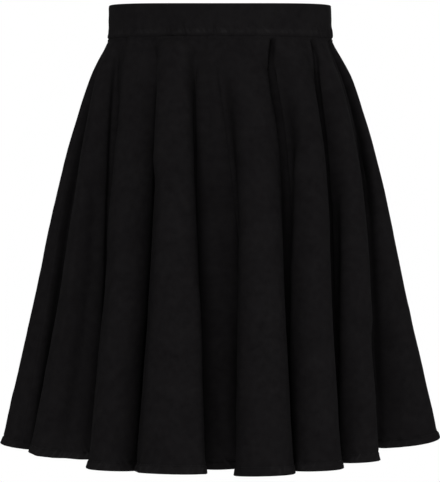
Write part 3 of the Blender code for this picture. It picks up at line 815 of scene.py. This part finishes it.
def make_waistband(finish):
    """Make the band: a strip folded at its top edge, open at the centre back."""
    bottom = -BAND_HEIGHT + SEAM_GAP_UNDER_BAND
    end = 180.0 - math.degrees(BAND_OPENING / 2.0 / WAIST_RADIUS)
    angles = np.linspace(-end, end, BAND_COLUMNS + 1)
    run = np.radians(angles) * WAIST_RADIUS
    dips = BAND_FRONT_DIP * np.maximum(np.cos(np.radians(angles)), 0.0)**2
    inside = -BAND_INSIDE_WAVE * rough_line(run, BAND_INSIDE_WAVE_SIZE, SEEDS["band_inside"])
    rows, flats = [], []
    for out, height, face in band_profile(bottom):
        lift = 0.0
        if face == "outer":
            lift = band_relief(angles, height)
        elif face == "inner":
            lift = inside
        calm = step_up(-height, 0.0, BAND_TOP_CALM)
        row = waist_point(angles, out + lift * calm, height)
        row[:, 2] -= dips * (height - bottom) / -bottom
        rows.append(row)
        flats.append(np.column_stack([run, np.full(len(angles), height + out)]))
    numbers = corner_numbers(rows)
    faces = []
    for lower, upper in zip(numbers, numbers[1:] + numbers[:1]):
        faces += strip_faces(upper, lower)
    faces.append(tuple(row[0] for row in numbers))
    faces.append(tuple(row[-1] for row in numbers[::-1]))
    band = mesh_object("band", np.concatenate(rows), faces, np.concatenate(flats))
    dress(band, finish)
    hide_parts("waistband")
    return band


# ---- Materials ----
COTTON_DARK = (0.0062, 0.0056, 0.0061)
COTTON_LIGHT = (0.0124, 0.0116, 0.0122)
COTTON_PAINTED_HIGHLIGHT = (0.0240, 0.0230, 0.0238)   # painted highlight on the ridges of the puckers
RIB_PITCH = 0.0009
YARN_PITCH = 0.00045
RIB_HEIGHT = 0.6             # shares of the cloth's bump depth
YARN_HEIGHT = 0.25
FUZZ_HEIGHT = 1.2
TAPE_RIB_HEIGHT = 0.4
PATCH_SHADE = 0.8            # shares of the shade from dark to light
WEAVE_SHADE = 0.12
WEAVE_LEVEL = 0.9
PAINTED_SHEEN_LIFT = 0.15         # painted sheen: added to the shade along the strips of the hem and the band
# least share of the painted sheen where its patches are off
PAINTED_SHEEN_LEAST = 0.4
STREAK_WIDTH = 0.0034        # of the painted highlights on the ridges of the puckers
WORN_EDGE = 0.56             # pointiness where the lacquer is worn

NOISES = {
    # name: turns per metre, detail, roughness
    "fuzz": (1500.0, 2.0, 0.5),
    "patch": (26.0, 3.0, 0.55),
    "cloud": (120.0, 4.0, 0.68),
    # patches of the painted sheen and of the painted highlights
    "painted_light_patch": (26.0, 1.0, 0.5),
    "streak": (1.0, 1.0, 0.5),           # turns per streak
    "thread_grain": (900.0, 3.0, 0.5),
    "metal_grain": (1400.0, 3.0, 0.5),
}
GRAINED = [
    # name, dark, light, least_roughness, specular, rib_pitch, bump_depth
    ("black_thread", (0.006, 0.006, 0.0062), (0.012, 0.012, 0.0125), 0.50, 0.15, 0.0004, 4e-5),
    ("black_woven_tape", (0.0055, 0.0055, 0.0058), (0.0105, 0.0105, 0.011),
     0.70, 0.05, 0.0008, 1.2e-4),
    ("black_nylon_coil", (0.006, 0.006, 0.0062), (0.010, 0.010, 0.0103),
     0.25, 0.25, 0.0013, 3e-5),
]


class Look:
    """A material being made, with its node tree and its Principled shader."""

    def __init__(self, name):
        self.material = bpy.data.materials.new(name)
        self.material.use_nodes = True
        self.tree = self.material.node_tree
        self.shader = self.tree.nodes["Principled BSDF"]

    def fill(self, node, inputs):
        """Set a node's inputs to values, or link them to other nodes' outputs."""
        for socket, value in inputs.items():
            if isinstance(value, bpy.types.NodeSocket):
                self.tree.links.new(value, node.inputs[socket])
            else:
                node.inputs[socket].default_value = value

    def node(self, kind, inputs):
        """Add a node with its inputs."""
        node = self.tree.nodes.new("ShaderNode" + kind)
        self.fill(node, inputs)
        return node

    def math(self, operation, *values):
        """Add a Math node."""
        node = self.node("Math", dict(enumerate(values)))
        node.operation = operation
        return node.outputs[0]

    def add(self, first, second):
        return self.math("ADD", first, second)

    def times(self, first, second):
        return self.math("MULTIPLY", first, second)

    def ribs(self, place, pitch):
        """Add a sine wave, from -1 to 1."""
        return self.math("SINE", self.times(place, 2.0 * math.pi / pitch))

    def noise(self, place, name):
        """Add one of the noise textures."""
        scale, detail, roughness = NOISES[name]
        return self.node("TexNoise", {"Vector": place, "Scale": scale, "Detail": detail,
                                      "Roughness": roughness}).outputs["Fac"]

    def rise(self, value, start, end):
        """Add a smooth rise from 0 at start to 1 at end."""
        node = self.node("MapRange", {"Value": value, "From Min": start, "From Max": end})
        node.interpolation_type = "SMOOTHSTEP"
        return node.outputs["Result"]

    def blend(self, factor, dark, light):
        """Add a colour ramp from dark to light."""
        node = self.node("ValToRGB", {"Fac": factor})
        for element, colour in zip(node.color_ramp.elements, (dark, light)):
            element.color = colour + (1.0,)
        return node.outputs["Color"]

    def finish(self, colour, specular, roughness, height, strength, depth):
        """Fill the shader; roughness is a grain with its share and its least value."""
        grain, share, least = roughness
        bumps = self.node("Bump", {"Height": height, "Strength": strength, "Distance": depth})
        self.fill(self.shader, {
            "Base Color": colour,
            "Roughness": self.add(self.times(grain, share), least),
            "Specular IOR Level": specular,
            "Normal": bumps.outputs["Normal"],
        })
        return self.material


def sheen_and_highlight_marks(look, uv, edge, run, zone):
    """Return the painted sheen along the hem and band strips, and the painted highlights on the
    ridges of its puckers.

    edge runs across the stitching and run along it, in metres; zone is the stretch of edge.
    """
    painted_sheen = look.times(look.rise(edge, zone[0] - 0.001, zone[0] + 0.001),
                         look.rise(edge, zone[1] + 0.002, zone[1] - 0.002))
    light_patches = look.rise(look.noise(uv, "painted_light_patch"), 0.36, 0.58)
    slanted = look.add(look.times(run, 1.0 / STREAK_WIDTH), look.times(edge, 0.5 / STREAK_WIDTH))
    streak = look.node("CombineXYZ", {"X": slanted, "Y": look.times(edge, 0.25 / STREAK_WIDTH)})
    highlight_dash = look.rise(look.noise(streak.outputs["Vector"], "streak"), 0.50, 0.72)
    painted_highlight = look.times(look.times(highlight_dash, light_patches), painted_sheen)
    return look.times(painted_sheen, look.add(light_patches, PAINTED_SHEEN_LEAST)), painted_highlight


def cotton_material(name, lightness, mottle, in_ring, zone, highlight_strength):
    """Make the black cotton: a fine twill with a faint nap, uneven in its black.

    The UV map is the flat cut. in_ring tells the flat ring of the panels from the band's strip.
    zone is the stretch, in metres from the ring's middle or from the band's top edge, that is
    painted a little lighter, a painted sheen. wear is how strongly the painted highlights on its
    ridges show.
    """
    look = Look(name)
    flat_cut = look.node("UVMap", {})
    flat_cut.uv_map = "flat_cut"
    uv = flat_cut.outputs["UV"]
    split = look.node("SeparateXYZ", {"Vector": uv})
    across, along = split.outputs["X"], split.outputs["Y"]
    edge, run = along, across
    if in_ring:
        radius = look.node("VectorMath", {0: uv})
        radius.operation = "LENGTH"
        edge = radius.outputs["Value"]
        run = look.times(look.math("ARCTAN2", across, look.times(along, -1.0)), HEM_RADIUS)
    # painted sheen along the hem and band strips, and painted highlights on the ridges of the
    # puckers
    painted_sheen, painted_highlight = sheen_and_highlight_marks(look, uv, edge, run, zone)
    rib = look.ribs(look.add(across, along), RIB_PITCH)
    weave = look.add(look.times(rib, RIB_HEIGHT),
                     look.times(look.ribs(across, YARN_PITCH), YARN_HEIGHT))
    fuzz = look.noise(uv, "fuzz")
    shade = look.add(look.times(look.noise(uv, "patch"), PATCH_SHADE),
                     look.times(look.add(weave, WEAVE_LEVEL), WEAVE_SHADE))
    shade = look.add(shade, look.times(look.add(look.noise(uv, "cloud"), -0.5), mottle))
    # painted sheen: the hem and band strips are lightened
    shade = look.add(shade, look.times(painted_sheen, PAINTED_SHEEN_LIFT))
    dark = tuple(lightness * channel for channel in COTTON_DARK)
    light = tuple(lightness * channel for channel in COTTON_LIGHT)
    # painted highlight: the ridges of the puckers are mixed toward a lighter colour
    colour = look.node("MixRGB", {"Fac": look.times(painted_highlight, highlight_strength),
                                  "Color1": look.blend(shade, dark, light),
                                  "Color2": COTTON_PAINTED_HIGHLIGHT + (1.0,)}).outputs["Color"]
    look.fill(look.shader, {"Sheen Weight": 0.002, "Sheen Roughness": 0.45})
    return look.finish(colour, specular=0.015, roughness=(fuzz, 0.10, 0.82),
                       height=look.add(weave, look.times(fuzz, FUZZ_HEIGHT)),
                       strength=0.35, depth=0.00012)


def grained_material(name, dark, light, least_roughness, specular, rib_pitch, bump_depth):
    """Make a material with a fine grain and level ribs, for thread, tape and coil."""
    look = Look(name)
    place = look.node("TexCoord", {}).outputs["Object"]
    level = look.node("SeparateXYZ", {"Vector": place}).outputs["Z"]
    grain = look.noise(place, "thread_grain")
    height = look.add(grain, look.times(look.ribs(level, rib_pitch), TAPE_RIB_HEIGHT))
    return look.finish(look.blend(grain, dark, light), specular=specular,
                       roughness=(grain, 0.20, least_roughness),
                       height=height, strength=0.3, depth=bump_depth)


def lacquer_material():
    """Make the zip's black lacquer: satin, with worn edges that show a little of the zinc."""
    look = Look("black_lacquered_zinc")
    grain = look.noise(look.node("TexCoord", {}).outputs["Object"], "metal_grain")
    pointiness = look.node("NewGeometry", {}).outputs["Pointiness"]
    worn = look.times(look.math("GREATER_THAN", pointiness, WORN_EDGE), grain)
    colour = look.blend(worn, (0.008, 0.008, 0.0083), (0.030, 0.029, 0.028))
    return look.finish(colour, specular=0.22, roughness=(grain, 0.22, 0.30),
                       height=grain, strength=0.2, depth=0.00003)


# ---- Stage, lights and camera ----
CAMERA_PLACE = Vector((0.0, -2.1955, -0.1284))
CAMERA_TARGET = Vector((0.0, 0.0, -0.2688))
CAMERA_LENS = 142.9          # millimetres, as is the sensor's width
CAMERA_SENSOR = 36.0
FLOOR_HEIGHT = -1.15
FLOOR_RADIUS = 2.6
FLOOR_SIDES = 96
SKIRT_MIDDLE = (0.0, 0.0, -0.27)
AMBIENT_STRENGTH = 0.21
BACKDROP_STRENGTH = 1.0
LIGHTS = [
    # name, place, size, watts
    ("front_light", (-0.45, -3.6, 0.35), 2.6, 59.5),
    ("top_light", (0.0, -0.3, 2.6), 3.0, 28.0),
    ("back_light", (0.35, 3.6, 0.35), 2.6, 55.0),
    ("left_side_light", (3.4, -0.5, 0.30), 1.8, 26.0),
    ("right_side_light", (-2.8, 2.3, 0.30), 1.8, 7.0),
]


def aim(thing, place, target):
    """Put a camera or light in its place, pointing at a target."""
    thing.location = place
    thing.rotation_mode = "QUATERNION"
    thing.rotation_quaternion = (Vector(target) - Vector(place)).to_track_quat("-Z", "Y")
    bpy.context.scene.collection.objects.link(thing)


def make_camera():
    """Place the camera as in the photograph: in front, a little below the band."""
    data = bpy.data.cameras.new("camera")
    data.lens = CAMERA_LENS
    data.sensor_width = CAMERA_SENSOR
    data.clip_end = 60.0
    camera = bpy.data.objects.new("camera", data)
    aim(camera, CAMERA_PLACE, CAMERA_TARGET)
    bpy.context.scene.camera = camera


def make_stage():
    """Make a round pale floor under the skirt."""
    turns = np.linspace(0.0, 2.0 * math.pi, FLOOR_SIDES, endpoint=False)
    corners = [(FLOOR_RADIUS * math.cos(turn), FLOOR_RADIUS * math.sin(turn), FLOOR_HEIGHT)
               for turn in turns]
    floor = mesh_object("floor", corners, [tuple(range(FLOOR_SIDES))])
    look = Look("pale_floor")
    look.fill(look.shader, {"Base Color": (0.90, 0.90, 0.90, 1.0), "Roughness": 0.9,
                            "Specular IOR Level": 0.1})
    floor.data.materials.append(look.material)


def make_light():
    """Light the skirt as in a white studio: bright surroundings and large soft lights."""
    world = bpy.data.worlds.new("studio")
    bpy.context.scene.world = world
    world.use_nodes = True
    tree = world.node_tree
    background = tree.nodes["Background"]
    background.inputs["Color"].default_value = (1.0, 1.0, 1.0, 1.0)
    rays = tree.nodes.new("ShaderNodeLightPath")
    seen = tree.nodes.new("ShaderNodeMapRange")
    seen.inputs["To Min"].default_value = AMBIENT_STRENGTH
    seen.inputs["To Max"].default_value = BACKDROP_STRENGTH
    tree.links.new(rays.outputs["Is Camera Ray"], seen.inputs["Value"])
    tree.links.new(seen.outputs["Result"], background.inputs["Strength"])
    for name, place, size, watts in LIGHTS:
        data = bpy.data.lights.new(name, "AREA")
        data.shape = "SQUARE"
        data.size = size
        data.energy = watts
        aim(bpy.data.objects.new(name, data), place, SKIRT_MIDDLE)
    bpy.context.scene.view_settings.view_transform = "Standard"


# ---- The whole ----
COTTON = cotton_material("black_cotton_twill", lightness=1.0, mottle=1.40, in_ring=True,
                         zone=(HEM_RADIUS - HEM_DEPTH - 0.001, HEM_RADIUS + 0.01), highlight_strength=0.45)
BAND_COTTON = cotton_material("black_cotton_band", lightness=1.04, mottle=1.1, in_ring=False,
                              zone=(0.005 - BAND_HEIGHT, 0.010 - BAND_HEIGHT), highlight_strength=0.36)
THREAD, TAPE, COIL = [grained_material(*row) for row in GRAINED]
LACQUER = lacquer_material()
make_camera()
make_stage()
make_light()

PANELS = [
    # name, node, first and last cloth angle
    ("front_cloth", "front_panel", -90.0, 90.0),
    ("back_cloth_right", "back_panel_right", -180.0, -90.0),
    ("back_cloth_left", "back_panel_left", 90.0, 180.0),
]
BAND = make_waistband(BAND_COTTON)
for name, node, first, last in PANELS:
    panel = make_panel(name, first, last, node, COTTON)
    stitches = make_hem_stitches(name + "_hem_stitches", first, last, THREAD)

ALLOWANCES = [
    # name, cloth_angle, starts (length below the waist seam)
    ("right_seam_edges", -90.0, 0.001),
    ("left_seam_edges", 90.0, 0.001),
    ("back_seam_edges", 180.0, ZIP_BELOW_SEAM + 0.002),
]
for allowance in ALLOWANCES:
    make_allowance(*allowance, COTTON)
make_zip_tape(TAPE)
make_zip_coil(COIL)
make_tape_stitches("zip_stitches_right", -TAPE_STITCHES_FROM_MIDDLE, THREAD)
make_tape_stitches("zip_stitches_left", TAPE_STITCHES_FROM_MIDDLE, THREAD)
for node in ("zip_slider", "zip_pull"):
    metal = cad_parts[node].data.materials
    metal.clear()
    metal.append(LACQUER)
